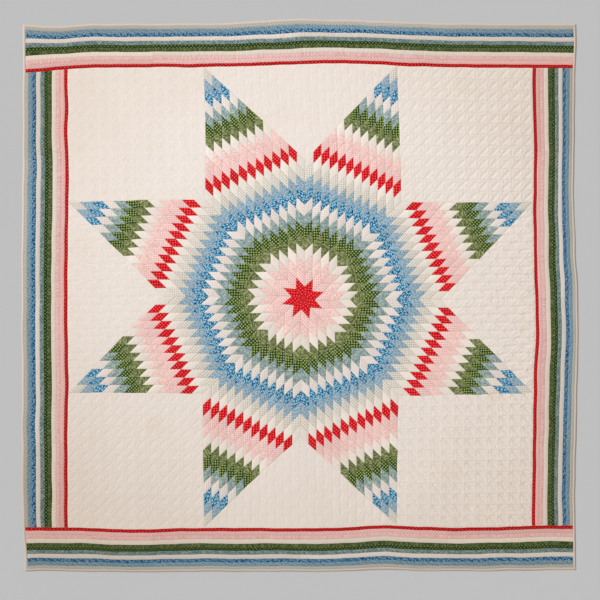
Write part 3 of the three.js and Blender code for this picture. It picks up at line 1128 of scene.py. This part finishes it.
def plain_panel(sizes, name, degrees, is_square):
    """A corner square, or a side triangle that stops where a and b together reach the arm's side."""
    start = compass(degrees) * arm_side(sizes)
    grid = panel_grid(sizes, start, compass(degrees - ARM_ANGLE), compass(degrees + ARM_ANGLE))
    most = sizes.diamonds
    side = sizes.diamond_side
    rims = [grid.a, grid.b]
    inside = None
    if is_square:
        rims += [most - grid.a, most - grid.b]
    else:
        rims += [(most - grid.a - grid.b) * SLANT]
        steps = np.arange(len(grid.a))
        inside = steps[:, None] + steps < len(steps)
    rim = np.minimum.reduce(rims) * side
    a, b = (count + ripples(grid.draft, way) / side for count, way in zip((grid.a, grid.b), LINE_WANDER))
    puff = quilted(a, b, side) * (1 - furrow(rim, SEAM_FURROW)) * relief_at(grid.draft)
    height = raised(sizes, grid.draft, sizes.quilt_puff * puff)
    return cloth_panel(sizes, name, grid._replace(a=a, b=b), height, ["field"], inside=inside)


def across_border(sizes):
    """Distances out from the field to each place across a border, and the strip that each is in."""
    seams_out = np.cumsum([0] + [strip.width for strip in BORDER_STRIPS])
    count = np.arange(len(BORDER_STRIPS) * sizes.strip_fineness + 1) / sizes.strip_fineness
    return np.interp(count, np.arange(len(seams_out)), seams_out), count


def along_field(sizes):
    """Places along one side of the field, the same as those of the panels inside it."""
    side = sizes.diamond_side
    slanted = side * math.sqrt(2)
    steps = np.repeat((side, slanted, side), sizes.diamonds)
    marks = np.cumsum(np.concatenate(((-field_half(sizes),), steps)))
    count = np.arange(len(steps) * sizes.fineness + 1) / sizes.fineness
    return np.interp(count, np.arange(len(marks)), marks)


def along_edge(sizes):
    """Places along the outside of the borders: the field's, and at each end those across a border."""
    ends = field_half(sizes) + across_border(sizes)[0][1:]
    return np.concatenate((-ends[::-1], along_field(sizes), ends))


def border_panel(sizes, name, degrees, is_long):
    """One border: strips side by side, each raised along its middle and sewn down at its ends."""
    along = along_edge(sizes) if is_long else along_field(sizes)
    grid = edge_grid(sizes, degrees, along, *across_border(sizes))
    from_end = np.abs(along).max() - np.abs(grid.cloth[..., 0])
    puff = crowned(grid.b) * (1 - furrow(from_end, SEAM_FURROW))
    height = raised(sizes, grid.draft, sizes.strip_puff * puff)
    strips = [strip.fabric for strip in BORDER_STRIPS]
    fabrics = unique(strips)
    slot_of_strip = np.array([fabrics.index(fabric) for fabric in strips])
    slots = slot_of_strip[np.floor(grid.b[:-1, :-1]).astype(int)]
    return cloth_panel(sizes, name, grid, height, fabrics, "beige", slots)


def rolled(share):
    """How the binding's height falls towards its outer edge: the root of one minus the fourth power."""
    return np.sqrt(np.clip(1 - share**4, 0, 1))


def binding_panel(sizes, name, degrees, is_long):
    """One side of the binding: a narrow roll over the edge. The long ones go round the corners."""
    turn = np.linspace(0, math.pi, BINDING_COLUMNS + 1)
    share = (1 - np.cos(turn)) / 2
    half = field_half(sizes) + border_width()
    along = along_edge(sizes)
    if is_long:
        ends = half + share[1:] * sizes.binding_width
        along = np.concatenate((-ends[::-1], along, ends))
    grid = edge_grid(sizes, degrees, along, border_width() + share * sizes.binding_width, share)
    past_end = np.abs(grid.cloth[..., 0]) - half
    puff = crowned(grid.b)
    if not is_long:
        puff = puff * (1 - furrow(past_end, SEAM_FURROW))
    full = raised(sizes, grid.draft, sizes.binding_puff * puff)
    round_end = rolled(np.clip(past_end / sizes.binding_width, 0, 1))
    height = np.maximum(full * rolled(grid.b) * round_end, sizes.least_height)
    return cloth_panel(sizes, name, grid, height, ["binding"])


class QUILT_OT_arms(bpy.types.Operator):
    """Adds the eight arms of the star, pieced from small diamonds"""

    bl_idname = "quilt.arms"
    bl_label = "Star arms"

    def execute(self, context):
        sizes = context.scene.quilt_sizes
        width = sizes.diamond_side * SLANT
        sewing = Sewing(seams, {"Across": width, "Along": width}, STAR_CREASED)
        materials = printed_materials("star", sewing)
        side = arm_side(sizes)
        half_angle = math.radians(ARM_ANGLE / 2)
        flat = (2 * side * math.sin(half_angle), 2 * side * math.cos(half_angle))
        for number, name in enumerate(ARM_NAMES):
            panel = arm_panel(sizes, f"arm_{name}", ARM_ANGLE * number)
            dress(panel, materials, Declared(f"arm_{name}", "star_patchwork", flat, side * side * SLANT))
        return {"FINISHED"}


class QUILT_OT_corners(bpy.types.Operator):
    """Adds the four plain corner squares, quilted in a grid with diagonals"""

    bl_idname = "quilt.corners"
    bl_label = "Corner squares"

    def execute(self, context):
        sizes = context.scene.quilt_sizes
        materials = field_materials(sizes)
        side = arm_side(sizes)
        for number, name in enumerate(CORNER_NAMES):
            panel = plain_panel(sizes, f"corner_{name}", ARM_ANGLE + QUARTER * number, True)
            dress(panel, materials, Declared(f"corner_{name}", "cream_cotton", (side, side), None))
        return {"FINISHED"}


class QUILT_OT_sides(bpy.types.Operator):
    """Adds the four plain side triangles, quilted like the corners"""

    bl_idname = "quilt.sides"
    bl_label = "Side triangles"

    def execute(self, context):
        sizes = context.scene.quilt_sizes
        materials = field_materials(sizes)
        side = arm_side(sizes)
        for number, name in enumerate(SIDE_NAMES):
            panel = plain_panel(sizes, f"side_{name}", QUARTER * number, False)
            declared = Declared(f"side_{name}", "cream_cotton", (side, side), side * side / 2)
            dress(panel, materials, declared)
        return {"FINISHED"}


class QUILT_OT_borders(bpy.types.Operator):
    """Adds the four borders, each of eleven narrow strips"""

    bl_idname = "quilt.borders"
    bl_label = "Borders"

    def execute(self, context):
        sizes = context.scene.quilt_sizes
        strip = border_width() / len(BORDER_STRIPS)
        sewing = Sewing(seams, {"Across": JOINED_LENGTH, "Along": strip}, BORDER_CREASED)
        materials = printed_materials("border", sewing)
        for number, name in enumerate(SIDE_NAMES):
            is_long = name in LONG_SIDES
            panel = border_panel(sizes, f"border_{name}", QUARTER * number, is_long)
            length = 2 * (field_half(sizes) + is_long * border_width())
            flat = (border_width(), length)
            dress(panel, materials, Declared(f"border_{name}", "border_strips", flat, None))
        return {"FINISHED"}


class QUILT_OT_binding(bpy.types.Operator):
    """Adds the cream binding that covers the quilt's edge"""

    bl_idname = "quilt.binding"
    bl_label = "Binding"

    def execute(self, context):
        sizes = context.scene.quilt_sizes
        materials = {part: plain_material(part) for part in ("binding", "backing")}
        for number, name in enumerate(SIDE_NAMES):
            is_long = name in LONG_SIDES
            panel = binding_panel(sizes, f"binding_{name}", QUARTER * number, is_long)
            half = field_half(sizes) + border_width() + is_long * sizes.binding_width
            flat = (sizes.binding_width + sizes.seam_height, 2 * half)
            dress(panel, materials, Declared(f"binding_{name}", "binding_cotton", flat, None))
        return {"FINISHED"}


# The stage. The photograph's middle is this far from the draft's, in the finished quilt
PICTURE_WIDTH = 2.49
PICTURE_MIDDLE = (0.0, -0.0108)
LENS_MM = 90
SENSOR_MM = 36
# The floor reaches so far each way, lies just under the quilt, and is faintly clouded
FLOOR_HALF = 40.0
FLOOR_DROP = 0.0003
FLOOR_ROUGHNESS = 0.95
FLOOR_SPECULAR = 0.1
CLOUD_SCALE = 1.3
CLOUD_COVER = 0.02
BLACK = (0, 0, 0, 1)
WHITE = (1, 1, 1, 1)
KEY_STRENGTH = 3.5
KEY_HEIGHT_DEGREES = 36
KEY_FROM_DEGREES = 150
KEY_SOFT_DEGREES = 22
SKY_STRENGTH = 0.445


def floor_material():
    """The floor's pale matt finish, with a faint unevenness."""
    material, wiring = new_material("pale_floor")
    tone = rgba(bpy.context.scene.quilt_plain.floor)
    cloudy = wiring.times(wiring.noise(wiring.body(), CLOUD_SCALE), CLOUD_COVER)
    wiring.surface(
        Base_Color=wiring.mix(cloudy, tone, BLACK),
        Roughness=FLOOR_ROUGHNESS,
        Specular_IOR_Level=FLOOR_SPECULAR,
    )
    return material


def add_floor():
    """A wide flat floor just under the quilt."""
    mesh = bpy.data.meshes.new("floor")
    ends = ((-1, -1), (1, -1), (1, 1), (-1, 1))
    corners = [(east * FLOOR_HALF, north * FLOOR_HALF, -FLOOR_DROP) for east, north in ends]
    mesh.from_pydata(corners, [], [range(len(corners))])
    mesh.materials.append(floor_material())
    placed("floor", mesh)


def add_camera(sizes):
    """The camera straight above, framed as the photograph is."""
    lens = bpy.data.cameras.new("camera")
    lens.lens = LENS_MM
    lens.sensor_width = SENSOR_MM
    camera = placed("camera", lens)
    aim = np.array(PICTURE_MIDDLE) - finished_middle(sizes)
    camera.location = (*aim, sizes.seam_height + PICTURE_WIDTH * LENS_MM / SENSOR_MM)
    bpy.context.scene.camera = camera


def add_lights():
    """A soft key light from the upper left, and an even sky."""
    key = bpy.data.lights.new("key_light", "SUN")
    key.energy = KEY_STRENGTH
    key.angle = math.radians(KEY_SOFT_DEGREES)
    slope = math.radians(QUARTER - KEY_HEIGHT_DEGREES)
    placed("key_light", key).rotation_euler = (slope, 0, math.radians(KEY_FROM_DEGREES + QUARTER))
    world = bpy.data.worlds.new("sky")
    world.use_nodes = True
    sky = {"Color": WHITE, "Strength": SKY_STRENGTH}
    Wiring(world.node_tree).feed(world.node_tree.nodes["Background"], sky)
    bpy.context.scene.world = world


class QUILT_OT_stage(bpy.types.Operator):
    """Adds the pale floor, the camera straight above it and soft light from the upper left"""

    bl_idname = "quilt.stage"
    bl_label = "Stage"

    def execute(self, context):
        add_floor()
        add_camera(context.scene.quilt_sizes)
        add_lights()
        context.scene.view_settings.view_transform = "Standard"
        return {"FINISHED"}


class QUILT_PT_panel(bpy.types.Panel):
    """The quilt's sizes and colours, and a button for each group of its pieces"""

    bl_idname = "QUILT_PT_panel"
    bl_label = "Star of Bethlehem Quilt"
    bl_space_type = "VIEW_3D"
    bl_region_type = "UI"
    bl_category = "Quilt"

    def draw(self, context):
        for operator in OPERATORS:
            self.layout.operator(operator.bl_idname)
        for name in SETTINGS:
            box = self.layout.box()
            settings = getattr(context.scene, name)
            for field in settings.__annotations__:
                box.prop(settings, field)


SETTINGS = {
    "quilt_sizes": QuiltSizes,
    "quilt_star": StarColours,
    "quilt_border": BorderColours,
    "quilt_plain": PlainColours,
}
OPERATORS = (
    QUILT_OT_stage,
    QUILT_OT_arms,
    QUILT_OT_corners,
    QUILT_OT_sides,
    QUILT_OT_borders,
    QUILT_OT_binding,
)


def register():
    """Registers the settings, the operators and the panel."""
    for name, settings in SETTINGS.items():
        bpy.utils.register_class(settings)
        setattr(bpy.types.Scene, name, bpy.props.PointerProperty(type=settings))
    for operator in OPERATORS:
        bpy.utils.register_class(operator)
    bpy.utils.register_class(QUILT_PT_panel)


def unregister():
    """Takes everything out again, last first."""
    bpy.utils.unregister_class(QUILT_PT_panel)
    for operator in reversed(OPERATORS):
        bpy.utils.unregister_class(operator)
    for name, settings in reversed(SETTINGS.items()):
        delattr(bpy.types.Scene, name)
        bpy.utils.unregister_class(settings)


def main():
    register()
    bpy.ops.quilt.stage()
    bpy.ops.quilt.arms()
    bpy.ops.quilt.corners()
    bpy.ops.quilt.sides()
    bpy.ops.quilt.borders()
    bpy.ops.quilt.binding()


if __name__ == "__main__":
    main()
